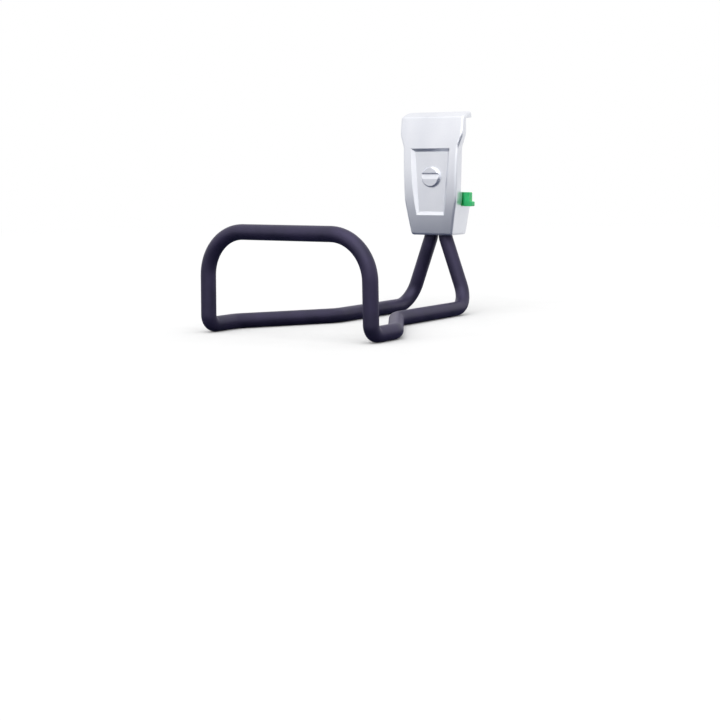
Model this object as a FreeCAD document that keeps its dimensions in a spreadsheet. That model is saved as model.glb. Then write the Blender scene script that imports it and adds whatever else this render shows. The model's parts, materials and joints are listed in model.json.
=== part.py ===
"""Hose hanger: a clip with a channel across its back, which carries a bent rod cradle.

Frame: +Z up, Y = 0 is the plane behind the clip, the rod reaches out to -Y, X = 0 is the middle of
the clip and Z = 0 is the middle of the channel. Sizes are millimetres.
"""
import FreeCAD, Part
import math
import os
import re

import Sketcher

# Driving sizes
SIZES = {
    "rail_height": 62.0,
    "rail_reach": 19.0,
    "rail_play": 0.4,
    "cover_rail_gap": 1.0,
    "head_half": 31.2,
    "head_top": 38.0,
    "shoulder_high": 17.5,
    "shoulder_low": 7.0,
    "waist_half": 27.4,
    "hip_half": 26.0,
    "hip_drop": 38.0,
    "foot_half": 20.3,
    "foot_drop": 68.5,
    "cover_back": 2.0,
    "head_back": 11.0,
    "cover_depth": 30.0,
    "brow_reach": 24.2,
    "brow_height": 32.6,
    "crown_radius": 60.0,
    "foot_reach": 26.0,
    "face_radius": 385.0,
    "head_corner": 4.5,
    "shoulder_round": 12.0,
    "foot_corner": 3.0,
    "edge_round": 2.2,
    "cover_wall": 2.4,
    "chamber_reach": 23.4,
    "chamber_drop": 33.0,
    "panel_reach": 24.7,
    "panel_tilt": 1.5,
    "panel_high": 3.1,
    "panel_low": 48.2,
    "panel_top_half": 16.4,
    "panel_low_half": 12.1,
    "brim_clear": 4.0,
    "panel_bevel": 1.0,
    "sill_bevel": 2.0,
    "boss_radius": 8.8,
    "boss_height": 3.2,
    "boss_drop": 18.5,
    "boss_bevel": 1.1,
    "groove_drop": 15.0,
    "groove_width": 5.3,
    "groove_lip": 1.2,
    "groove_depth": 1.6,
    "sheet_thick": 2.0,
    "sheet_half": 22.0,
    "sheet_foot_half": 17.6,
    "sheet_drop": 65.5,
    "sheet_waist_drop": 34.0,
    "sheet_front": 21.4,
    "bend_inside": 2.0,
    "lip_back": 10.6,
    "lip_depth": 7.0,
    "bend_clear": 2.5,
    "fit_gap": 0.3,
    "rod_radius": 6.0,
    "rod_axis_reach": 13.4,
    "rod_end_half": 7.0,
    "rod_end_drop": 50.0,
    "rod_fork_drop": 70.0,
    "rod_fork_bend": 15.0,
    "rod_mouth_gap": 1.2,
    "arm_drop": 130.4,
    "arm_rear_half": 29.1,
    "heel_bend": 20.0,
    "flare_start_reach": 129.8,
    "flare_end_reach": 205.2,
    "flare_bend": 20.0,
    "arm_front_half": 75.6,
    "arch_half": 74.6,
    "front_reach": 238.6,
    "toe_bend": 8.0,
    "arch_drop": 57.4,
    "arch_bend": 34.5,
    "screw_half_gap": 15.1,
    "screw_high_drop": 52.5,
    "screw_low_drop": 59.5,
    "screw_radius": 1.95,
    "screw_hole": 2.0,
    "screw_pass_hole": 2.2,
    "screw_length": 20.0,
    "screw_head_radius": 3.0,
    "screw_head_height": 2.2,
    "screw_cross_length": 3.6,
    "screw_cross_width": 0.8,
    "screw_cross_depth": 1.2,
    "post_radius": 3.4,
    "post_bite": 0.5,
    "lock_half": 20.6,
    "lock_high_drop": 31.7,
    "lock_low_drop": 43.5,
    "neck_step": 3.2,
    "guide_reach": 24.4,
    "tab_front": 15.8,
    "tab_thick": 5.0,
    "tab_start": 26.5,
    "tab_reach": 32.1,
    "tab_round": 0.8,
    "pad_reach": 34.5,
    "pad_height": 4.1,
    "pad_drop": 0.2,
    "slot_gap": 2.0,
    "overrun": 1.0,
}

document = FreeCAD.newDocument("hose_hanger")
sheet = document.addObject("Spreadsheet::Sheet", "Sizes")


def fill_sheet():
    """Writes each driving size as plain text into its own row and names the cell."""
    for row, (alias, size) in enumerate(SIZES.items(), start=1):
        sheet.set("A%d" % row, alias)
        sheet.set("B%d" % row, repr(size))
        sheet.setAlias("B%d" % row, alias)
    document.recompute()


def linked(expression):
    """Points every size name in an expression at the sheet."""
    return re.sub(r"[a-z_]+", lambda found: "Sizes." + found.group(), expression)


def number(expression):
    """Returns the present value of an expression in sizes."""
    return float(sheet.evalExpression(expression))


def bind(thing, prop, expression):
    """Ties a property of an object to the sheet."""
    thing.setExpression(prop, linked(expression))


def place(thing, corner):
    """Ties an object's position to three expressions."""
    for axis, expression in zip("xyz", corner):
        bind(thing, "Placement.Base." + axis, expression)


def new_body(name):
    """Adds an empty body with its own label."""
    body = document.addObject("PartDesign::Body", name)
    body.Label = name
    return body


def origin_plane(body, role):
    """Finds one of the body's own origin planes."""
    return next(plane for plane in body.Origin.OriginFeatures if plane.Role == role)


def arc_between(start, end, radius):
    """Makes the arc from start to end; a negative radius turns it clockwise."""
    start = FreeCAD.Vector(start[0], start[1], 0)
    end = FreeCAD.Vector(end[0], end[1], 0)
    chord = end - start
    rise = math.sqrt(radius * radius - chord.Length * chord.Length / 4)
    left = FreeCAD.Vector(-chord.y, chord.x, 0).normalize()
    centre = (start + end) / 2 + left * math.copysign(rise, radius)
    first, last = (start, end) if radius > 0 else (end, start)
    angles = [math.atan2(point.y - centre.y, point.x - centre.x) for point in (first, last)]
    circle = Part.Circle(centre, FreeCAD.Vector(0, 0, 1), abs(radius))
    return Part.ArcOfCircle(circle, angles[0], angles[1])


def outline(body, name, role, corners, arcs=None):
    """Draws a closed outline whose corners, and the radii of its arcs, follow the sheet.

    corners holds pairs of expressions; arcs maps the corner that an arc starts from to its
    radius and to +1 for an anticlockwise or -1 for a clockwise turn.
    """
    arcs = arcs or {}
    sketch = body.newObject("Sketcher::SketchObject", name)
    sketch.AttachmentSupport = [(origin_plane(body, role), "")]
    sketch.MapMode = "FlatFace"
    points = [(number(across), number(along)) for across, along in corners]
    ends = []
    for index, start in enumerate(points):
        end = points[(index + 1) % len(points)]
        if index in arcs:
            radius, turn = arcs[index]
            geometry = sketch.addGeometry(arc_between(start, end, turn * number(radius)), False)
            ends.append((geometry, 1, 2) if turn > 0 else (geometry, 2, 1))
            ring = sketch.addConstraint(Sketcher.Constraint("Radius", geometry, number(radius)))
            bind(sketch, "Constraints[%d]" % ring, radius)
        else:
            line = Part.LineSegment(FreeCAD.Vector(*start, 0), FreeCAD.Vector(*end, 0))
            ends.append((sketch.addGeometry(line, False), 1, 2))
    for index, (geometry, first, last) in enumerate(ends):
        following = ends[(index + 1) % len(ends)]
        joint = ("Coincident", geometry, last, following[0], following[1])
        sketch.addConstraint(Sketcher.Constraint(*joint))
        for kind, expression, value in zip(("DistanceX", "DistanceY"), corners[index], points[index]):
            tie = sketch.addConstraint(Sketcher.Constraint(kind, -1, 1, geometry, first, value))
            bind(sketch, "Constraints[%d]" % tie, expression)
    return sketch


def mirrored(corners):
    """Completes a half outline, given from top to bottom on the right, with its left half."""
    return corners + [("-(%s)" % across, along) for across, along in reversed(corners)]


def pad(body, name, sketch, length, both_ways=False):
    """Raises a sketch by a length, to one side or half to each side."""
    feature = body.newObject("PartDesign::Pad", name)
    feature.Profile = sketch
    feature.Midplane = both_ways
    bind(feature, "Length", length)
    return feature


def pocket(body, name, sketch, length=None, flip=False, both_ways=False):
    """Cuts a sketch to a length, or right through both ways, and checks that it removes some.

    A length goes to one side, or half to each side.
    """
    before = body.Shape.Volume
    feature = body.newObject("PartDesign::Pocket", name)
    feature.Profile = sketch
    feature.Midplane = both_ways or length is None
    if length is None:
        feature.Type = "ThroughAll"
    else:
        feature.Reversed = flip
        bind(feature, "Length", length)
    document.recompute()
    if feature.Shape.Volume >= before:
        raise RuntimeError(name + " removes nothing")
    return feature


def block(body, name, kind, low, high):
    """Adds or removes a box between two corners given as expressions."""
    feature = body.newObject("PartDesign::%sBox" % kind, name)
    for prop, start, end in zip(("Length", "Width", "Height"), low, high):
        bind(feature, prop, "(%s) - (%s)" % (end, start))
    place(feature, low)
    return feature


def drum(body, name, kind, radius, height, start):
    """Adds or removes a cylinder that points to -Y from its start."""
    feature = body.newObject("PartDesign::%sCylinder" % kind, name)
    feature.Placement.Rotation = FreeCAD.Rotation(FreeCAD.Vector(1, 0, 0), 90)
    bind(feature, "Radius", radius)
    bind(feature, "Height", height)
    place(feature, start)
    return feature


def softened(body, name, size, chosen, kind="Fillet", prop="Radius"):
    """Rounds or bevels the edges of the body's last feature for which chosen(edge) is true."""
    document.recompute()
    base = body.Tip
    names = ["Edge%d" % n for n, edge in enumerate(base.Shape.Edges, start=1) if chosen(edge)]
    if not names:
        raise RuntimeError(name + " finds no edge")
    feature = body.newObject("PartDesign::" + kind, name)
    feature.Base = (base, names)
    bind(feature, prop, size)
    document.recompute()
    return feature


def runs_along_y(edge, half, height):
    """Tells whether an edge runs along Y at a given distance from the middle and height."""
    box = edge.BoundBox
    straight = box.XLength < 0.01 and box.ZLength < 0.01
    return straight and abs(abs(box.XMin) - half) < 0.01 and abs(box.ZMin - height) < 0.01


def screw_places():
    """Lists the four screw axes as pairs of expressions, across and up."""
    rows = ("-screw_high_drop", "-screw_low_drop")
    return [(side + "screw_half_gap", row) for row in rows for side in ("-", "")]


# Moulded cover
def cover_outline():
    """Gives the cover's front outline, wide head, narrow waist and tapering foot."""
    return mirrored([
        ("head_half", "head_top"),
        ("head_half", "shoulder_high"),
        ("waist_half", "shoulder_low"),
        ("hip_half", "-hip_drop"),
        ("foot_half", "-foot_drop"),
    ])


def trim_cover_face(body):
    """Cuts the bowed front face and the sloping crown."""
    far = "-cover_depth - cover_back"
    side = outline(body, "face_line", "YZ_Plane", [
        (far, "-foot_drop - cover_wall"),
        ("-foot_reach", "-foot_drop - cover_wall"),
        ("-foot_reach", "-foot_drop"),
        ("-brow_reach", "brow_height"),
        ("-cover_back", "head_top"),
        ("-cover_back", "head_top + cover_wall"),
        (far, "head_top + cover_wall"),
    ], {2: ("face_radius", -1), 3: ("crown_radius", -1)})
    pocket(body, "face_cut", side)


def round_cover(body):
    """Rounds the outline's corners and then the whole front rim."""
    turns = [
        ("head_corners", "head_corner", "head_half", "head_top"),
        ("shoulders_high", "shoulder_round", "head_half", "shoulder_high"),
        ("shoulders_low", "shoulder_round", "waist_half", "shoulder_low"),
        ("hips", "shoulder_round * 3", "hip_half", "-hip_drop"),
        ("foot_corners", "foot_corner", "foot_half", "-foot_drop"),
    ]
    for name, radius, half, height in turns:
        side, level = number(half), number(height)
        softened(body, name, radius, lambda edge: runs_along_y(edge, side, level))
    trim_cover_face(body)
    back = -number("cover_back")

    def on_rim(edge):
        box = edge.BoundBox
        along_y = box.XLength < 0.01 and box.ZLength < 0.01
        return box.YMax < back - 1 and not along_y

    softened(body, "front_rim", "edge_round", on_rim)


def hollow_cover(body):
    """Cuts the channel, the pocket for the steel and the chamber for the rod ends."""
    half_gap = "(rail_height / 2 + rail_play)"
    wide = "(head_half + cover_wall)"
    block(body, "head_rear", "Subtractive",
          ("-" + wide, "-head_back", "0"), (wide, "overrun", "head_top + overrun"))
    block(body, "rail_channel", "Subtractive",
          ("-" + wide, "-rail_reach - cover_rail_gap", "-" + half_gap), (wide, "overrun", half_gap))
    steel_top = "(rail_height / 2 + rail_play + sheet_thick + fit_gap)"
    steel = outline(body, "steel_line", "YZ_Plane", [
        ("overrun", "-sheet_waist_drop"),
        ("-sheet_front - fit_gap", "-sheet_waist_drop"),
        ("-sheet_front - fit_gap", steel_top + " - bend_clear"),
        ("-sheet_front - fit_gap + bend_clear", steel_top),
        ("overrun", steel_top),
    ])
    pocket(body, "steel_pocket", steel, "2 * (sheet_half + fit_gap)", both_ways=True)
    chamber = outline(body, "chamber_line", "XZ_Plane", mirrored([
        ("hip_half - cover_wall", "-chamber_drop"),
        ("hip_half - cover_wall", "-hip_drop"),
        ("foot_half - cover_wall", "-foot_drop + cover_wall"),
    ]))
    pocket(body, "chamber", chamber, "chamber_reach", flip=True)
    mouth = "(rod_end_half + rod_radius + rod_mouth_gap)"
    block(body, "rod_mouth", "Subtractive",
          ("-" + mouth, "-rod_axis_reach - rod_radius - rod_mouth_gap", "-foot_drop - overrun"),
          (mouth, "overrun", "-foot_drop + 2 * cover_wall"))
    block(body, "lock_notches", "Subtractive",
          ("-" + wide, "-tab_front - slot_gap", "-lock_low_drop - fit_gap"),
          (wide, "overrun", "-" + half_gap + " + overrun"))


def lean(sketch, reach):
    """Moves a sketch out to a reach and leans it by the panel's tilt, its lower end forward."""
    sketch.AttachmentOffset = FreeCAD.Placement(
        FreeCAD.Vector(), FreeCAD.Rotation(FreeCAD.Vector(-1, 0, 0), number("panel_tilt")))
    bind(sketch, "AttachmentOffset.Base.z", reach)
    bind(sketch, "AttachmentOffset.Rotation.Angle", "panel_tilt")


def dress_cover(body):
    """Sinks the front panel with its bevels, raises the round boss and cuts its finger groove.

    The groove has a short lip that leans inwards above and a long slope below.
    """
    brim_reach = "(foot_reach + brim_clear)"
    rise = "(%s - panel_reach)" % brim_reach
    spread = rise + " * panel_bevel"
    floor = outline(body, "panel_floor", "XZ_Plane", mirrored([
        ("panel_top_half", "panel_high"),
        ("panel_low_half", "-panel_low"),
    ]))
    lean(floor, "panel_reach")
    brim = outline(body, "panel_brim", "XZ_Plane", mirrored([
        ("panel_top_half + " + spread, "panel_high + " + spread),
        ("panel_low_half + " + spread, "-panel_low - %s * sill_bevel" % rise),
    ]))
    lean(brim, brim_reach)
    document.recompute()
    panel = body.newObject("PartDesign::SubtractiveLoft", "panel")
    panel.Profile = floor
    panel.Sections = [brim]
    panel.Ruled = True
    document.recompute()
    drum(body, "boss", "Additive", "boss_radius", "boss_height", ("0", "-panel_reach", "-boss_drop"))
    front = -number("panel_reach + boss_height")
    radius = number("boss_radius")

    def on_boss(edge):
        box = edge.BoundBox
        flat = box.YLength < 0.01 and abs(box.YMin - front) < 0.01
        return flat and abs(box.XMax - radius) < 0.1 and abs(box.XMin + radius) < 0.1

    softened(body, "boss_edge", "boss_bevel", on_boss, "Chamfer", "Size")
    face = "-panel_reach - boss_height"
    groove = outline(body, "groove_line", "YZ_Plane", [
        (face + " - overrun", "-groove_drop"),
        (face, "-groove_drop"),
        (face + " + groove_depth", "-groove_drop - groove_lip"),
        (face, "-groove_drop - groove_width"),
        (face + " - overrun", "-groove_drop - groove_width"),
    ])
    pocket(body, "boss_groove", groove, "2 * boss_radius", both_ways=True)


def make_cover():
    """Builds the moulded cover with its posts and screw holes."""
    body = new_body("front_cover")
    front = outline(body, "front_line", "XZ_Plane", cover_outline())
    bind(front, "AttachmentOffset.Base.z", "cover_back")
    pad(body, "bulk", front, "cover_depth")
    round_cover(body)
    hollow_cover(body)
    dress_cover(body)
    seat = "(rod_axis_reach - rod_radius - sheet_thick)"
    for index, (across, up) in enumerate(screw_places(), start=1):
        drum(body, "post_%d" % index, "Additive", "post_radius",
             "chamber_reach - sheet_front + post_bite", (across, "-sheet_front", up))
        drum(body, "post_hole_%d" % index, "Subtractive", "screw_hole",
             seat + " + screw_length - sheet_front + post_bite", (across, "-sheet_front", up))
    return body


# Steel hanger sheet
def make_hanger_sheet():
    """Builds the strip: a hook at the channel's top, a web down its front and the clamp below."""
    body = new_body("hanger_plate")
    inside = "(rail_height / 2 + rail_play)"
    outside = inside[:-1] + " + sheet_thick)"
    lip_low = inside + " - lip_depth"
    strip = outline(body, "strip_line", "YZ_Plane", [
        ("-lip_back", lip_low),
        ("-lip_back", outside),
        ("-sheet_front", outside),
        ("-sheet_front", "-sheet_drop"),
        ("-sheet_front + sheet_thick", "-sheet_drop"),
        ("-sheet_front + sheet_thick", inside),
        ("-lip_back - sheet_thick", inside),
        ("-lip_back - sheet_thick", lip_low),
    ])
    pad(body, "strip", strip, "2 * sheet_half", both_ways=True)
    levels = {number(inside): "bend_inside", number(outside): "bend_inside + sheet_thick"}
    lip = -number("lip_back")
    front = -number("sheet_front")
    thick = number("sheet_thick")
    for index, (level, radius) in enumerate(levels.items()):
        shift = thick if index == 0 else 0.0

        def at_bend(edge):
            box = edge.BoundBox
            across = box.YLength < 0.01 and box.ZLength < 0.01
            at_line = min(abs(box.YMin - lip + shift), abs(box.YMin - front - shift)) < 0.01
            return across and at_line and abs(box.ZMin - level) < 0.01

        softened(body, "bends_%d" % index, radius, at_bend)
    for name, side in (("right_taper", ""), ("left_taper", "-")):
        taper = outline(body, name + "_line", "XZ_Plane", [
            (side + "sheet_half", "-sheet_waist_drop"),
            (side + "(sheet_half + overrun)", "-sheet_waist_drop"),
            (side + "(sheet_half + overrun)", "-sheet_drop - overrun"),
            (side + "sheet_foot_half", "-sheet_drop - overrun"),
            (side + "sheet_foot_half", "-sheet_drop"),
        ])
        pocket(body, name, taper)
    for index, (across, up) in enumerate(screw_places(), start=1):
        drum(body, "pass_%d" % index, "Subtractive", "screw_pass_hole", "cover_depth", (across, "0", up))
    return body


def make_back_plate():
    """Builds the rear clamp plate that closes the chamber over the rod ends."""
    body = new_body("back_plate")
    face = outline(body, "plate_line", "XZ_Plane", mirrored([
        ("sheet_half", "-lock_low_drop - fit_gap"),
        ("sheet_foot_half", "-sheet_drop"),
    ]))
    bind(face, "AttachmentOffset.Base.z", "rod_axis_reach - rod_radius - sheet_thick")
    pad(body, "plate", face, "sheet_thick")
    for index, (across, up) in enumerate(screw_places(), start=1):
        drum(body, "hole_%d" % index, "Subtractive", "screw_pass_hole", "cover_depth", (across, "0", up))
    return body


# Bent rod
def rod_path():
    """Lists the rod's corners and bend radii on its right side, from its end to the arch."""
    rear = -number("rod_axis_reach")
    arms = -number("arm_drop")
    front = -number("front_reach")
    wide = number("arm_front_half")
    narrow = number("arm_rear_half")
    inner = number("rod_end_half")
    return [
        ((inner, rear, -number("rod_end_drop")), 0.0),
        ((inner, rear, -number("rod_fork_drop")), number("rod_fork_bend")),
        ((narrow, rear, arms), number("heel_bend")),
        ((narrow, -number("flare_start_reach"), arms), number("flare_bend")),
        ((wide, -number("flare_end_reach"), arms), number("flare_bend")),
        ((wide, front, arms), number("toe_bend")),
        ((number("arch_half"), front, -number("arch_drop")), number("arch_bend")),
    ]


def bent_wire(corners):
    """Joins corners with straight runs and tangent arcs of each corner's own radius."""
    edges = []
    last = FreeCAD.Vector(*corners[0][0])
    for (before, _), (corner, radius), (after, _) in zip(corners, corners[1:], corners[2:]):
        corner = FreeCAD.Vector(*corner)
        back = (FreeCAD.Vector(*before) - corner).normalize()
        ahead = (FreeCAD.Vector(*after) - corner).normalize()
        half_angle = back.getAngle(ahead) / 2
        reach = radius / math.tan(half_angle)
        centre = corner + (back + ahead).normalize() * (radius / math.sin(half_angle))
        middle = centre + (corner - centre).normalize() * radius
        start, end = corner + back * reach, corner + ahead * reach
        edges.append(Part.makeLine(last, start))
        edges.append(Part.Arc(start, middle, end).toShape())
        last = end
    edges.append(Part.makeLine(last, FreeCAD.Vector(*corners[-1][0])))
    return Part.Wire(edges)


def make_rod():
    """Sweeps one round bar along the whole path: it turns in three directions, so by code."""
    right = rod_path()
    left = [((-x, y, z), radius) for (x, y, z), radius in reversed(right)]
    wire = bent_wire(right + left)
    start = FreeCAD.Vector(*right[0][0])
    ring = Part.Wire(Part.makeCircle(number("rod_radius"), start, FreeCAD.Vector(0, 0, 1)))
    rod = document.addObject("Part::Feature", "hook_rod")
    rod.Label = "hook_rod"
    rod.Shape = wire.makePipeShell([ring], True, True)
    return rod


# Sliding lock
def make_lock():
    """Builds the lock: a bar low in the channel, a guide on the left and a finger tab on the right.

    The bar slides back along +Y, which opens the channel's lower end and frees the clip.
    """
    body = new_body("lock_slide")
    bar_front = "-sheet_front + sheet_thick + fit_gap"
    neck_front = "-tab_front + neck_step"
    back = "-tab_front + tab_thick"
    block(body, "bar", "Additive",
          ("-lock_half", bar_front, "-lock_low_drop"), ("lock_half", back, "-lock_high_drop"))
    block(body, "guide", "Additive",
          ("-guide_reach", neck_front, "-lock_low_drop"), ("0", back, "-lock_high_drop"))
    block(body, "neck", "Additive",
          ("0", neck_front, "-lock_low_drop"), ("tab_start + overrun", back, "-lock_high_drop"))
    block(body, "tab", "Additive",
          ("tab_start", "-tab_front", "-lock_low_drop"), ("tab_reach", back, "-lock_high_drop"))
    block(body, "finger_pad", "Additive",
          ("tab_start + overrun", "-tab_front", "-lock_low_drop - pad_drop"),
          ("pad_reach", back, "-lock_low_drop - pad_drop + pad_height"))
    past_start = number("tab_start + overrun") + 0.5

    def on_tab(edge):
        box = edge.BoundBox
        return box.XLength < 0.01 and box.ZLength < 0.01 and box.XMin > past_start

    softened(body, "tab_edges", "tab_round", on_tab)
    return body


# Screws
def make_screw(index, across, up):
    """Builds one pan-head clamp screw with a cross recess."""
    body = new_body("clamp_screw_%d" % index)
    seat = "(rod_axis_reach - rod_radius - sheet_thick)"
    drum(body, "shank", "Additive", "screw_radius", "screw_length", (across, "-" + seat, up))
    drum(body, "head", "Additive", "screw_head_radius", "screw_head_height",
         (across, "-" + seat + " + screw_head_height", up))
    top = "-" + seat + " + screw_head_height"
    for name, wide, tall in (("bar", "screw_cross_length", "screw_cross_width"),
                             ("post", "screw_cross_width", "screw_cross_length")):
        block(body, "cross_" + name, "Subtractive",
              ("%s - %s / 2" % (across, wide), top + " - screw_cross_depth", "%s - %s / 2" % (up, tall)),
              ("%s + %s / 2" % (across, wide), top + " + overrun", "%s + %s / 2" % (up, tall)))
    return body


def check_and_write(pieces):
    """Refuses any broken object, then writes each piece to its own file."""
    document.recompute()
    for thing in document.Objects:
        if "Invalid" in thing.State or "Error" in thing.State:
            raise RuntimeError("%s is not sound: %s" % (thing.Label, thing.State))
    os.makedirs("parts", exist_ok=True)
    for piece in pieces:
        if piece.Shape.isNull() or not piece.Shape.isValid():
            raise RuntimeError(piece.Label + " has no valid shape")
        piece.Shape.exportStep("parts/%s.step" % piece.Label)
        box = piece.Shape.BoundBox
        print("%-16s %9.0f mm3  X %.1f..%.1f  Y %.1f..%.1f  Z %.1f..%.1f  solids %d" % (
            piece.Label, piece.Shape.Volume, box.XMin, box.XMax, box.YMin, box.YMax,
            box.ZMin, box.ZMax, len(piece.Shape.Solids)))


fill_sheet()
pieces = [make_cover(), make_hanger_sheet(), make_back_plate(), make_rod(), make_lock()]
for count, (side, level) in enumerate(screw_places(), start=1):
    pieces.append(make_screw(count, side, level))
check_and_write(pieces)
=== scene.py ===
import json
import logging
import math
from abc import ABC, abstractmethod
from dataclasses import dataclass, field
from enum import Enum

import bpy
import numpy as np
from mathutils import Euler, Matrix, Vector


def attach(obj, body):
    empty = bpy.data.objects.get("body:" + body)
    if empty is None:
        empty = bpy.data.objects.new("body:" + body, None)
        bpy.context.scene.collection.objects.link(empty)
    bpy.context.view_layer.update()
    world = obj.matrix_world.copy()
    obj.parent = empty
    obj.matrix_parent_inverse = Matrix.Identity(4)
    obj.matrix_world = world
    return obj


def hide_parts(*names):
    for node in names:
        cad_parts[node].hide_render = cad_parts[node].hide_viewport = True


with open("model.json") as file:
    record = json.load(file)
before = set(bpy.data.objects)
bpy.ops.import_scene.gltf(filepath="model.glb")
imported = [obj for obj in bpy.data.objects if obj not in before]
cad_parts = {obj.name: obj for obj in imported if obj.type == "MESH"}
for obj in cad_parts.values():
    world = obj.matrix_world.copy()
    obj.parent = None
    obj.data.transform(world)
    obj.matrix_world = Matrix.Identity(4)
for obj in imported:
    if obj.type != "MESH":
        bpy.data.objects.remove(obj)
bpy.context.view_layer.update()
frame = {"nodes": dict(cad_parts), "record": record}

MM = 0.001

Triple = tuple[float, float, float]
Span = tuple[float, float]
Colour = tuple[float, float, float, float]
Tree = bpy.types.NodeTree
Socket = bpy.types.NodeSocket

logger = logging.getLogger("hose_hanger")


# Colours and node building
def linear(hex_colour: str) -> Colour:
    """Turns an sRGB hex colour into the linear colour that shaders take.

    The curve is the sRGB one: a part up to 0.04045 is divided by 12.92, and any other has
    0.055 added, is divided by 1.055 and raised to the power of 2.4.

    Args:
        hex_colour: six hex digits with a leading hash.

    Returns:
        Red, green, blue and an alpha of 1.
    """
    parts = np.array([int(hex_colour[i:i + 2], 16) for i in (1, 3, 5)]) / 255.0
    flat = np.where(parts <= 0.04045, parts / 12.92, ((parts + 0.055) / 1.055) ** 2.4)
    return (*[float(value) for value in flat], 1.0)


def grey(value: float) -> Colour:
    """Gives a linear grey with an alpha of 1."""
    return (value, value, value, 1.0)


def add_node(tree: Tree, kind: str, settings: dict[str, str] | None = None,
             **values: object) -> bpy.types.Node:
    """Adds one node with its settings, socket values and links.

    Args:
        tree: the node tree to add to.
        kind: the node's type name.
        settings: properties of the node itself, such as its operation.
        **values: a value or an output socket for each input, named in lower case with
            underscores, or in0, in1 and so on for an input by its place.

    Returns:
        The new node.
    """
    node = tree.nodes.new(kind)
    for name, value in (settings or {}).items():
        setattr(node, name, value)
    by_name = {socket.name.lower().replace(" ", "_"): socket for socket in reversed(list(node.inputs))}
    for name, value in values.items():
        by_place = name[:2] == "in" and name[2:].isdigit()
        socket = node.inputs[int(name[2:])] if by_place else by_name[name]
        if isinstance(value, Socket):
            tree.links.new(value, socket)
        else:
            socket.default_value = value
    return node


def ramp(tree: Tree, factor: Socket, stops: list[tuple[float, Colour]]) -> Socket:
    """Adds a colour ramp.

    Args:
        tree: the node tree to add to.
        factor: what drives the ramp.
        stops: places from 0 to 1, each with its linear colour.

    Returns:
        The ramp's colour output.
    """
    node = add_node(tree, "ShaderNodeValToRGB", None, in0=factor)
    elements = node.color_ramp.elements
    for index, (place, colour) in enumerate(stops):
        element = elements[index] if index < 2 else elements.new(place)
        element.position = place
        element.color = colour
    return node.outputs["Color"]


def new_material(name: str) -> tuple[bpy.types.Material, Tree, bpy.types.Node]:
    """Makes a material with one Principled shader.

    Args:
        name: what the real material is.

    Returns:
        The material, its node tree and its shader node.
    """
    material = bpy.data.materials.new(name)
    material.use_nodes = True
    tree = material.node_tree
    return material, tree, tree.nodes["Principled BSDF"]


def object_space(tree: Tree, scale: Triple) -> Socket:
    """Adds object coordinates, scaled from metres to pattern units.

    Args:
        tree: the node tree to add to.
        scale: pattern units per metre along each axis.

    Returns:
        The scaled vector.
    """
    coordinates = add_node(tree, "ShaderNodeTexCoord").outputs["Object"]
    return add_node(tree, "ShaderNodeMapping", None, vector=coordinates, scale=scale).outputs[0]


@dataclass(frozen=True)
class Grain:
    """A noise whose blobs have a real size, and the bump that it makes.

    Attributes:
        size: the blobs' size along X, Y and Z in millimetres.
        detail: how many finer layers it has.
        depth: how deep its bump is in millimetres.
        strength: how much of the bump shows.
    """

    size: Triple
    detail: float = 2.0
    depth: float = 0.0
    strength: float = 0.0

    def value(self, tree: Tree) -> Socket:
        """Adds the noise.

        Args:
            tree: the node tree to add to.

        Returns:
            Its value, around 0.5.
        """
        place = object_space(tree, tuple(1.0 / (size * MM) for size in self.size))
        node = add_node(tree, "ShaderNodeTexNoise", None, vector=place, scale=1.0, detail=self.detail)
        return node.outputs[0]

    def bump(self, tree: Tree, below: Socket | None) -> Socket:
        """Adds the noise as a bump, on top of another if one is given.

        Args:
            tree: the node tree to add to.
            below: the normal that it is added to.

        Returns:
            The bumped normal.
        """
        node = add_node(tree, "ShaderNodeBump", None, height=self.value(tree),
                        distance=self.depth * MM, strength=self.strength)
        if below is not None:
            tree.links.new(below, node.inputs["Normal"])
        return node.outputs[0]


# Finishes
@dataclass(frozen=True, kw_only=True)
class Finish(ABC):
    """A material whose colour and roughness drift with a cloudy pattern.

    Attributes:
        name: what the real material is.
        dark: its colour where the pattern is low.
        light: its colour where the pattern is high.
        stops: the pattern's values at which the two colours are full.
        cloud: the pattern.
        rough: its roughness where the pattern is 0 and where it is 1.
    """

    name: str
    dark: str
    light: str
    stops: Span = (0.35, 0.65)
    cloud: Grain
    rough: Span

    @abstractmethod
    def relief(self) -> tuple[Grain, ...]:
        """Gives the bumps of its surface, the lowest first."""

    @abstractmethod
    def settings(self) -> dict[str, float | Colour]:
        """Gives the shader's inputs that are the same all over."""

    def speckle(self, tree: Tree, cloud: Socket) -> Socket:
        """Gives the pattern that drives the colour, which is the cloud unless a finish has more.

        Args:
            tree: the node tree to add to.
            cloud: the cloudy pattern's value.

        Returns:
            The pattern's value.
        """
        return cloud

    def build(self) -> bpy.types.Material:
        """Builds the material.

        Returns:
            The material.
        """
        material, tree, shader = new_material(self.name)
        cloud = self.cloud.value(tree)
        shades = [(self.stops[0], linear(self.dark)), (self.stops[1], linear(self.light))]
        tree.links.new(ramp(tree, self.speckle(tree, cloud), shades), shader.inputs["Base Color"])
        rough = add_node(tree, "ShaderNodeMapRange", None, value=cloud, to_min=self.rough[0],
                         to_max=self.rough[1])
        tree.links.new(rough.outputs[0], shader.inputs["Roughness"])
        for name, value in self.settings().items():
            shader.inputs[name].default_value = value
        normal = None
        for grain in self.relief():
            normal = grain.bump(tree, normal)
        tree.links.new(normal, shader.inputs["Normal"])
        return material


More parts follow.
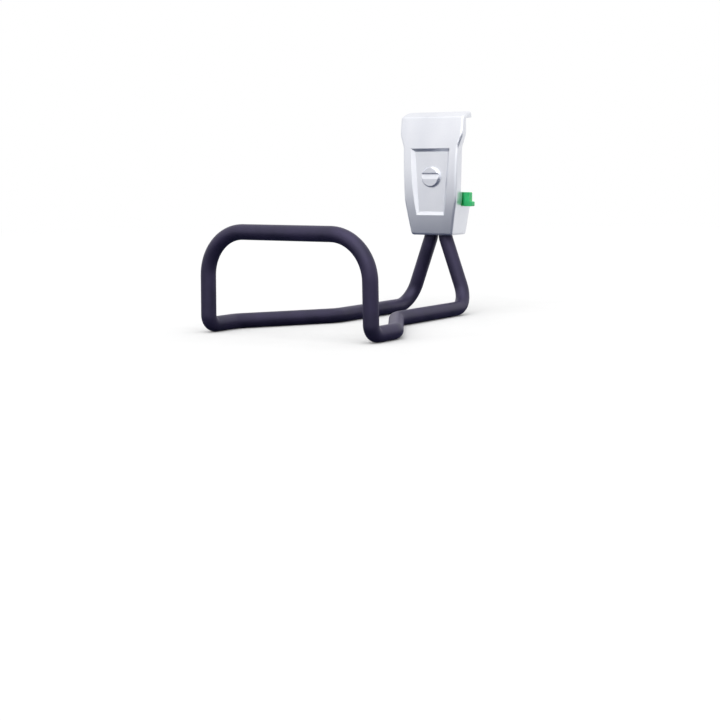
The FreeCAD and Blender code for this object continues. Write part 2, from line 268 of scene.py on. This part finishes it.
@dataclass(frozen=True, kw_only=True)
class MouldedSilver(Finish):
    """Silver ABS filled with metal flake, injection moulded in a spark-textured cavity.

    That gives the eye a broad satin highlight, nearly a metal's, with a faint sparkle, and it
    bends a little over shallow sink marks. Real flakes measure about 0.05 mm and the pits of
    the texture about 0.1 mm: both are drawn coarser, so that they show.

    Attributes:
        metal: how metallic the filled plastic looks.
        flake: the flakes.
        flake_share: how much the flakes move the colour.
        flow_share: how much the plastic's flow, which is the cloud, moves it.
        level: what brings their sum back to the middle of the stops.
        spark: the cavity's texture.
    """

    name: str = "moulded silver plastic"
    dark: str = "#DCDEE5"
    light: str = "#EAEBF0"
    cloud: Grain = Grain((28.0, 28.0, 60.0), depth=0.25, strength=0.25)
    rough: Span = (0.30, 0.39)
    metal: float = 0.84
    flake: Grain = Grain((0.25, 0.25, 0.25), detail=1.0)
    flake_share: float = 0.5
    flow_share: float = 0.6
    level: float = -0.05
    spark: Grain = Grain((0.45, 0.45, 0.45), depth=0.02, strength=0.35)

    def relief(self) -> tuple[Grain, ...]:
        """Gives the texture, and the sink marks that follow the flow."""
        return (self.spark, self.cloud)

    def settings(self) -> dict[str, float | Colour]:
        """Gives how metallic it is."""
        return {"Metallic": self.metal}

    def speckle(self, tree: Tree, cloud: Socket) -> Socket:
        """Adds the flakes to the flow: level + flow share x flow + flake share x flake.

        Args:
            tree: the node tree to add to.
            cloud: the flow's value.

        Returns:
            The sum.
        """
        add = {"operation": "MULTIPLY_ADD"}
        flow = add_node(tree, "ShaderNodeMath", add, in0=cloud, in1=self.flow_share, in2=self.level)
        total = add_node(tree, "ShaderNodeMath", add, in0=self.flake.value(tree), in1=self.flake_share,
                         in2=flow.outputs[0])
        return total.outputs[0]


@dataclass(frozen=True, kw_only=True)
class SoftCoat(Finish):
    """Soft black PVC in which the steel rod was dipped.

    That gives the eye a matt skin with a cool gloss on its upper side, a faint dusty bloom
    at grazing angles and the slight waves of a coat that ran before it set. Its real grain
    is about 0.1 mm and is drawn coarser, so that it shows.

    Attributes:
        bloom: colour of the dusty sheen.
        bloom_weight: how much of it there is.
        bloom_width: how far it spreads from the grazing angles.
        gloss: colour of its reflections.
        gloss_level: how strong they are, 0.5 being a plain plastic's.
        grain: the skin's grain.
        drape: the waves.
    """

    name: str = "soft black rod coating"
    dark: str = "#171424"
    light: str = "#251F35"
    stops: Span = (0.35, 0.70)
    cloud: Grain = Grain((18.0, 18.0, 18.0), detail=3.0)
    rough: Span = (0.44, 0.56)
    bloom: str = "#8A80B4"
    bloom_weight: float = 0.12
    bloom_width: float = 0.45
    gloss: str = "#D6D0FF"
    gloss_level: float = 0.65
    grain: Grain = Grain((0.5, 0.5, 0.5), depth=0.03, strength=0.4)
    drape: Grain = Grain((7.0, 7.0, 7.0), depth=0.25, strength=0.3)

    def relief(self) -> tuple[Grain, ...]:
        """Gives the grain and the waves."""
        return (self.grain, self.drape)

    def settings(self) -> dict[str, float | Colour]:
        """Gives its gloss and its bloom."""
        return {
            "Specular Tint": linear(self.gloss),
            "Specular IOR Level": self.gloss_level,
            "Sheen Weight": self.bloom_weight,
            "Sheen Roughness": self.bloom_width,
            "Sheen Tint": linear(self.bloom),
        }


@dataclass(frozen=True, kw_only=True)
class LockGreen(Finish):
    """Bright green ABS, injection moulded in a polished cavity.

    That gives the eye a clean gloss and, at thin edges, a little light from within. Its real
    surface is finer than 0.1 mm and is drawn coarser, so that it shows.

    Attributes:
        inner: how much light goes through the plastic.
        inner_reach: how far it goes, in millimetres.
        grain: the surface.
    """

    name: str = "green lock plastic"
    dark: str = "#24AE60"
    light: str = "#31C272"
    cloud: Grain = Grain((6.0, 6.0, 6.0))
    rough: Span = (0.28, 0.36)
    inner: float = 0.15
    inner_reach: float = 1.5
    grain: Grain = Grain((0.6, 0.6, 0.6), depth=0.015, strength=0.3)

    def relief(self) -> tuple[Grain, ...]:
        """Gives the surface."""
        return (self.grain,)

    def settings(self) -> dict[str, float | Colour]:
        """Gives the light from within."""
        return {"Subsurface Weight": self.inner, "Subsurface Scale": self.inner_reach * MM}


class Lay(Enum):
    """The fine marks on a metal: rolled ones run along Z, even ones have no direction."""

    ROLLED = Grain((0.12, 0.12, 14.0), depth=0.01, strength=0.35)
    EVEN = Grain((0.5, 0.5, 0.5), depth=0.01, strength=0.35)


@dataclass(frozen=True, kw_only=True)
class Steel(Finish):
    """Zinc-plated steel, cold rolled as strip or headed as a screw.

    That gives the eye a soft metal shine with patches of duller plating. Real rolling marks
    are about 0.02 mm wide and are drawn coarser, so that they show.

    Attributes:
        lay: its fine marks.
    """

    stops: Span = (0.30, 0.70)
    cloud: Grain = Grain((5.0, 5.0, 5.0), detail=3.0)
    lay: Lay

    def relief(self) -> tuple[Grain, ...]:
        """Gives the fine marks."""
        return (self.lay.value,)

    def settings(self) -> dict[str, float | Colour]:
        """Makes it a metal."""
        return {"Metallic": 1.0}


FINISHES: dict[str, Finish] = {
    "cover_silver": MouldedSilver(),
    "rod_coating": SoftCoat(),
    "lock_green": LockGreen(),
    "plated_steel": Steel(name="zinc plated sheet steel", dark="#C0BFBA", light="#D6D5D0",
                          rough=(0.40, 0.28), lay=Lay.ROLLED),
    "screw_steel": Steel(name="zinc plated screw", dark="#A9A7A0", light="#CFCDC6",
                         rough=(0.36, 0.24), lay=Lay.EVEN),
}


# Dressing
@dataclass
class Dresser:
    """Gives every piece the finish of its material slot.

    Attributes:
        finishes: the finish of each slot.
        materials: the material of each slot, each built once.
    """

    finishes: dict[str, Finish]
    materials: dict[str, bpy.types.Material] = field(init=False)

    def __post_init__(self) -> None:
        """Builds the materials."""
        self.materials = {slot: finish.build() for slot, finish in self.finishes.items()}

    def dress(self, thing: bpy.types.Object, slot: str) -> None:
        """Replaces an object's materials.

        Args:
            thing: the object.
            slot: the record's material slot.
        """
        thing.data.materials.clear()
        thing.data.materials.append(self.materials[slot])

    def dress_frame(self) -> None:
        """Dresses each node that the frame brought in."""
        slots = {entry["node"]: entry["material_slot"] for entry in frame["record"]["subparts"]}
        for node, thing in frame["nodes"].items():
            self.dress(thing, slots[node])
            logger.info("%s dressed in %s", node, slots[node])


# Rod
def tube_object(name: str, rings: np.ndarray) -> bpy.types.Object:
    """Makes a closed tube from rings of points.

    Each quad joins two neighbours of one ring with the same two of the next, and a fan
    joins each end ring with the mean of its points.

    Args:
        name: the object's name.
        rings: points as rings by sides by 3, in metres, turning left round the path.

    Returns:
        A smooth-shaded object.
    """
    count, sides = rings.shape[:2]
    index = np.arange(count * sides).reshape(count, sides)
    following = np.roll(index, -1, axis=1)
    quads = np.stack([index[:-1], following[:-1], following[1:], index[1:]], axis=-1).reshape(-1, 4)
    start = np.stack([np.full(sides, index.size), following[0], index[0]], axis=-1)
    end = np.stack([np.full(sides, index.size + 1), index[-1], following[-1]], axis=-1)
    points = np.concatenate([rings.reshape(-1, 3), rings[[0, -1]].mean(axis=1)])
    mesh = bpy.data.meshes.new(name)
    mesh.from_pydata(points.tolist(), [], quads.tolist() + start.tolist() + end.tolist())
    mesh.polygons.foreach_set("use_smooth", np.ones(len(mesh.polygons), dtype=bool))
    mesh.update()
    thing = bpy.data.objects.new(name, mesh)
    bpy.context.scene.collection.objects.link(thing)
    return thing


@dataclass(frozen=True)
class Corner:
    """One corner of the rod's path before it is bent.

    Attributes:
        place: the corner in millimetres.
        radius: bend radius of the rod's middle line in millimetres, 0 at an end.
    """

    place: Triple
    radius: float


@dataclass(frozen=True)
class BentRod:
    """The coated rod: a round tube along straight runs joined by tangent arcs.

    Attributes:
        thickness: the rod's diameter over its coating in millimetres.
        sides: points round the rod.
        step: length between rings along a straight run in millimetres.
        turn: angle between rings in a bend in degrees.
        edge: radius of the rounded edge at each end in millimetres.
        edge_turns: angles of the rings on that edge in degrees, 90 in the end's plane.
        start_across: direction of each ring's first point at the start, square to the path.
        corners: the right half of the path, from the hidden end to the arch.
    """

    thickness: float = 12.0
    sides: int = 48
    step: float = 3.0
    turn: float = 4.0
    edge: float = 1.5
    edge_turns: Triple = (90.0, 60.0, 30.0)
    start_across: Triple = (0.0, 1.0, 0.0)
    corners: tuple[Corner, ...] = (
        Corner((7.0, -13.4, -50.0), 0.0),
        Corner((7.0, -13.4, -70.0), 15.0),
        Corner((29.1, -13.4, -130.4), 20.0),
        Corner((29.1, -129.8, -130.4), 20.0),
        Corner((75.6, -205.2, -130.4), 20.0),
        Corner((75.6, -238.6, -130.4), 8.0),
        Corner((74.6, -238.6, -57.4), 34.5),
    )

    def path(self) -> np.ndarray:
        """Works out the middle line.

        A bend of radius r in a corner of half angle a starts r / tan(a) before the corner,
        and its centre lies r / sin(a) from it on the line that halves the corner. A point of
        the bend turns from the first touch direction towards the second by equal angles.

        Returns:
            Points of the whole path, one row each, in millimetres.
        """
        mirror = np.array([-1.0, 1.0, 1.0])
        right = [(np.array(corner.place), corner.radius) for corner in self.corners]
        whole = right + [(place * mirror, radius) for place, radius in reversed(right)]
        points = [whole[0][0][None]]
        for (before, _), (place, radius), (after, _) in zip(whole, whole[1:], whole[2:]):
            back = (before - place) / np.linalg.norm(before - place)
            ahead = (after - place) / np.linalg.norm(after - place)
            half = math.acos(float(back @ ahead)) / 2
            centre = place + (back + ahead) / np.linalg.norm(back + ahead) * radius / math.sin(half)
            first = (place + back * radius / math.tan(half) - centre) / radius
            last = (place + ahead * radius / math.tan(half) - centre) / radius
            sweep = math.pi - 2 * half
            count = max(2, round(math.degrees(sweep) / self.turn))
            share = np.linspace(0.0, 1.0, count + 1)[:, None]
            arc = (np.sin((1 - share) * sweep) * first + np.sin(share * sweep) * last) / math.sin(sweep)
            points.append(self.straight(points[-1][-1], centre + radius * first))
            points.append(centre + radius * arc[1:])
        points.append(self.straight(points[-1][-1], whole[-1][0]))
        return np.concatenate(points)

    def straight(self, start: np.ndarray, end: np.ndarray) -> np.ndarray:
        """Divides a straight run into even steps.

        Args:
            start: where the run starts; it isn't repeated.
            end: where it ends.

        Returns:
            The points after the start, the end included.
        """
        count = max(1, round(float(np.linalg.norm(end - start)) / self.step))
        share = np.linspace(0.0, 1.0, count + 1)[1:, None]
        return start + (end - start) * share

    def directions(self, line: np.ndarray) -> tuple[np.ndarray, np.ndarray, np.ndarray]:
        """Carries two directions square to the middle line along it, without twist.

        From one point to the next, the first loses its part along the path and goes back to
        a length of 1. The second is the path's direction crossed with the first.

        Args:
            line: points of the middle line.

        Returns:
            The path's direction and the two square to it, a row each for every point.
        """
        along = np.gradient(line, axis=0)
        along /= np.linalg.norm(along, axis=1, keepdims=True)
        across = np.zeros_like(line)
        across[0] = self.start_across
        for index in range(1, len(line)):
            carried = across[index - 1] - along[index] * (across[index - 1] @ along[index])
            across[index] = carried / np.linalg.norm(carried)
        return along, across, np.cross(along, across)

    def rings(self) -> np.ndarray:
        """Works out the tube's rings.

        A ring point at angle t is p + r (u cos t + v sin t), where u and v are the carried
        directions. Each end has a rounded edge in place of its last ring: its ring at angle
        a lies edge (1 - sin a) inside the end and is edge (1 - cos a) smaller.

        Returns:
            Points as rings by sides by 3, in metres.
        """
        line = self.path()
        repeats = np.ones(len(line), dtype=int)
        repeats[[0, -1]] = len(self.edge_turns)
        tracks = (line, *self.directions(line))
        centre, along, across, other = (np.repeat(track, repeats, axis=0) for track in tracks)
        bend = np.radians(self.edge_turns)
        inside = self.edge * (1.0 - np.sin(bend))
        smaller = self.edge * (1.0 - np.cos(bend))
        shift = np.zeros(len(centre))
        shift[:len(bend)] = inside
        shift[-len(bend):] = -inside[::-1]
        radius = np.full(len(centre), self.thickness / 2)
        radius[:len(bend)] -= smaller
        radius[-len(bend):] -= smaller[::-1]
        angle = np.linspace(0.0, 2 * math.pi, self.sides, endpoint=False)[None, :, None]
        circle = across[:, None] * np.cos(angle) + other[:, None] * np.sin(angle)
        middle = centre + along * shift[:, None]
        return (middle[:, None] + radius[:, None, None] * circle) * MM

    def build(self, dresser: Dresser) -> None:
        """Builds and dresses the tube, which moves with the clip and stands for the plain solid.

        Args:
            dresser: what gives it its finish.
        """
        rod = tube_object("rod_coat", self.rings())
        dresser.dress(rod, "rod_coating")
        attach(rod, "hanger")
        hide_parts("hook_rod")
        logger.info("rod_coat built")


# Studio
def eye_ray(tree: Tree, path: bpy.types.Node) -> Socket:
    """Tells the rays that come from the eye, straight or through something clear.

    Args:
        tree: the node tree to add to.
        path: its Light Path node.

    Returns:
        1 for such a ray and 0 for any other.
    """
    either = add_node(tree, "ShaderNodeMath", {"operation": "MAXIMUM"}, in0=path.outputs["Is Camera Ray"],
                      in1=path.outputs["Is Transmission Ray"])
    return either.outputs[0]


@dataclass(frozen=True)
class SoftSun:
    """A distant lamp so wide that its shadows are soft, as a big diffuser gives.

    Attributes:
        name: its name.
        towards: direction from the object to the lamp.
        strength: its strength, pi lighting a white surface square to it fully.
        width: how wide it looks from the object, in degrees.
    """

    name: str
    towards: Triple
    strength: float
    width: float

    def build(self) -> None:
        """Adds the lamp to the scene."""
        data = bpy.data.lights.new(self.name, "SUN")
        data.energy = self.strength
        data.angle = math.radians(self.width)
        lamp = bpy.data.objects.new(self.name, data)
        lamp.rotation_euler = Vector(self.towards).to_track_quat("Z", "Y").to_euler()
        bpy.context.scene.collection.objects.link(lamp)


@dataclass(frozen=True)
class Floor:
    """The pale floor, which keeps the shadow near the object and is plain white farther out.

    Attributes:
        level: its height in metres.
        half: half its side in metres.
        seen: its whiteness to the camera.
        uneven: how far the paper's clouds move that whiteness either way.
        clouds: the paper's clouds.
        painted_shade_bounce: its colour to light that leaves it for the object, a dark blue in place of the
            pale paper: painted shade, which darkens and cools the object's lower sides.
        rough: its roughness.
        fade: distances from the Z axis between which it turns into plain white, in metres.
        card: places along Y between which it turns white to reflections, as a card stood
            behind the object would, in metres.
    """

    level: float = -0.1366
    half: float = 6.0
    seen: float = 0.70
    uneven: float = 0.02
    clouds: Grain = Grain((40.0, 40.0, 40.0))
    # Painted shade: the floor is pale, but light leaving it for the object takes this dark blue.
    painted_shade_bounce: str = "#2B3750"
    rough: float = 0.9
    fade: Span = (0.75, 1.8)
    card: Span = (0.0, 0.12)

    def build(self) -> None:
        """Lays the floor as one square."""
        sides = [(-1, -1), (1, -1), (1, 1), (-1, 1)]
        mesh = bpy.data.meshes.new("studio_floor")
        mesh.from_pydata([(x * self.half, y * self.half, self.level) for x, y in sides], [], [(0, 1, 2, 3)])
        mesh.materials.append(self.paper())
        thing = bpy.data.objects.new("studio_floor", mesh)
        bpy.context.scene.collection.objects.link(thing)

    def paper(self) -> bpy.types.Material:
        """Makes its material: matt paper, mixed with plain white by the share of each ray.

        Returns:
            The material.
        """
        material, tree, shader = new_material("pale studio floor")
        path = add_node(tree, "ShaderNodeLightPath")
        eye = eye_ray(tree, path)
        spread = [(0.0, grey(self.seen - self.uneven)), (1.0, grey(self.seen + self.uneven))]
        shown = ramp(tree, self.clouds.value(tree), spread)
        # A Mix node set to colours takes them at inputs 6 and 7 and gives the result at output 2.
        # The eye sees the paper; every other ray sees the dark blue, which paints shade on the object's
        # lower sides.
        colour = add_node(tree, "ShaderNodeMix", {"data_type": "RGBA"}, in0=eye,
                          in6=linear(self.painted_shade_bounce), in7=shown)
        tree.links.new(colour.outputs[2], shader.inputs["Base Color"])
        shader.inputs["Roughness"].default_value = self.rough
        shader.inputs["Specular IOR Level"].default_value = 0.0
        white = add_node(tree, "ShaderNodeEmission", None, color=grey(1.0), strength=1.0)
        mixed = add_node(tree, "ShaderNodeMixShader", None, in0=self.white_share(tree, path, eye),
                         in1=shader.outputs[0], in2=white.outputs[0])
        tree.links.new(mixed.outputs[0], tree.nodes["Material Output"].inputs["Surface"])
        return material

    def white_share(self, tree: Tree, path: bpy.types.Node, eye: Socket) -> Socket:
        """Works out how white the floor is to a ray.

        It is far x eye + max(far, card) x reflected, where far and card grow from 0 to 1
        between their places, and eye and reflected are 1 for rays of their kind.

        Args:
            tree: the node tree to add to.
            path: its Light Path node.
            eye: 1 for a ray from the eye.

        Returns:
            The share, from 0 to 1.
        """
        smooth = {"interpolation_type": "SMOOTHSTEP"}
        spot = object_space(tree, (1.0, 1.0, 0.0))
        reach = add_node(tree, "ShaderNodeVectorMath", {"operation": "LENGTH"}, in0=spot).outputs["Value"]
        depth = add_node(tree, "ShaderNodeSeparateXYZ", None, vector=spot).outputs["Y"]
        far = add_node(tree, "ShaderNodeMapRange", smooth, value=reach, from_min=self.fade[0],
                       from_max=self.fade[1]).outputs[0]
        card = add_node(tree, "ShaderNodeMapRange", smooth, value=depth, from_min=self.card[0],
                        from_max=self.card[1]).outputs[0]
        either = add_node(tree, "ShaderNodeMath", {"operation": "MAXIMUM"}, in0=far, in1=card)
        straight = add_node(tree, "ShaderNodeMath", {"operation": "MULTIPLY"}, in0=far, in1=eye)
        share = add_node(tree, "ShaderNodeMath", {"operation": "MULTIPLY_ADD"}, in0=either.outputs[0],
                         in1=path.outputs["Is Glossy Ray"], in2=straight.outputs[0])
        return share.outputs[0]


@dataclass(frozen=True)
class Air:
    """The surroundings: plain white seen or reflected, with most of their even light low down.

    Attributes:
        sky: heights, 0 at the horizon and 1 overhead, each with its share of the brightest
            light there.
        gain: the brightest light.
    """

    sky: tuple[Span, ...] = ((0.0, 0.66), (0.18, 1.0), (0.6, 0.62))
    gain: float = 1.5

    def build(self) -> None:
        """Makes the world."""
        world = bpy.data.worlds.new("studio_air")
        bpy.context.scene.world = world
        world.use_nodes = True
        tree = world.node_tree
        path = add_node(tree, "ShaderNodeLightPath")
        plain = add_node(tree, "ShaderNodeMath", {"operation": "MAXIMUM"}, in0=eye_ray(tree, path),
                         in1=path.outputs["Is Glossy Ray"])
        way = add_node(tree, "ShaderNodeTexCoord").outputs["Generated"]
        height = add_node(tree, "ShaderNodeSeparateXYZ", None, vector=way).outputs["Z"]
        share = ramp(tree, height, [(place, grey(value)) for place, value in self.sky])
        light = add_node(tree, "ShaderNodeMath", {"operation": "MULTIPLY"}, in0=share, in1=self.gain)
        # A Mix node set to numbers takes them at inputs 2 and 3.
        strength = add_node(tree, "ShaderNodeMix", None, in0=plain.outputs[0], in2=light.outputs[0], in3=1.0)
        background = tree.nodes["Background"]
        background.inputs["Color"].default_value = grey(1.0)
        tree.links.new(strength.outputs[0], background.inputs["Strength"])


@dataclass(frozen=True)
class PhotoCamera:
    """The camera at the photograph's viewing angle.

    Attributes:
        eye: its place in metres.
        turn: how far it looks to the left of +Y, in degrees.
        tilt: how far it looks down, in degrees.
        lean: how far the view is then turned about the Y axis, in degrees.
        focal: its focal length in millimetres.
        sensor: its sensor's width in millimetres.
        upright: what brings a camera from straight down to level, in degrees.
    """

    eye: Triple = (0.67705, -1.16546, -0.00428)
    turn: float = 33.35
    tilt: float = 7.735
    lean: float = 0.56
    focal: float = 76.4
    sensor: float = 36.0
    upright: float = 90.0

    def build(self) -> None:
        """Places the camera."""
        data = bpy.data.cameras.new("photo_camera")
        data.lens = self.focal
        data.sensor_width = self.sensor
        camera = bpy.data.objects.new("photo_camera", data)
        camera.location = self.eye
        look = Euler((math.radians(self.upright - self.tilt), 0.0, math.radians(self.turn))).to_matrix()
        camera.rotation_euler = (Matrix.Rotation(math.radians(self.lean), 3, "Y") @ look).to_euler()
        bpy.context.scene.collection.objects.link(camera)
        bpy.context.scene.camera = camera


@dataclass(frozen=True)
class Studio:
    """Pale floor, white surroundings, soft light and the camera.

    Attributes:
        floor: the floor.
        air: the surroundings.
        lamps: the soft lamps.
        camera: the camera.
    """

    floor: Floor = Floor()
    air: Air = Air()
    lamps: tuple[SoftSun, ...] = (
        SoftSun("key_soft", (0.24, -0.46, 0.86), 1.45, 70.0),
        SoftSun("side_soft", (0.80, -0.55, 0.22), 0.2, 60.0),
        SoftSun("front_soft", (0.20, -0.94, 0.28), 0.5, 70.0),
    )
    camera: PhotoCamera = PhotoCamera()

    def build(self) -> None:
        """Builds all of it."""
        for thing in (self.floor, self.air, *self.lamps, self.camera):
            thing.build()
        bpy.context.scene.view_settings.view_transform = "Standard"


def write_sizes() -> None:
    """Logs a fixed line; no boxes are written or compared."""
    logger.info("sizes written")


def main() -> None:
    logging.basicConfig(level=logging.INFO, format="%(name)s: %(message)s")
    dresser = Dresser(FINISHES)
    dresser.dress_frame()
    BentRod().build(dresser)
    Studio().build()
    logger.info("studio built")
    write_sizes()


if __name__ == "__main__":
    main()
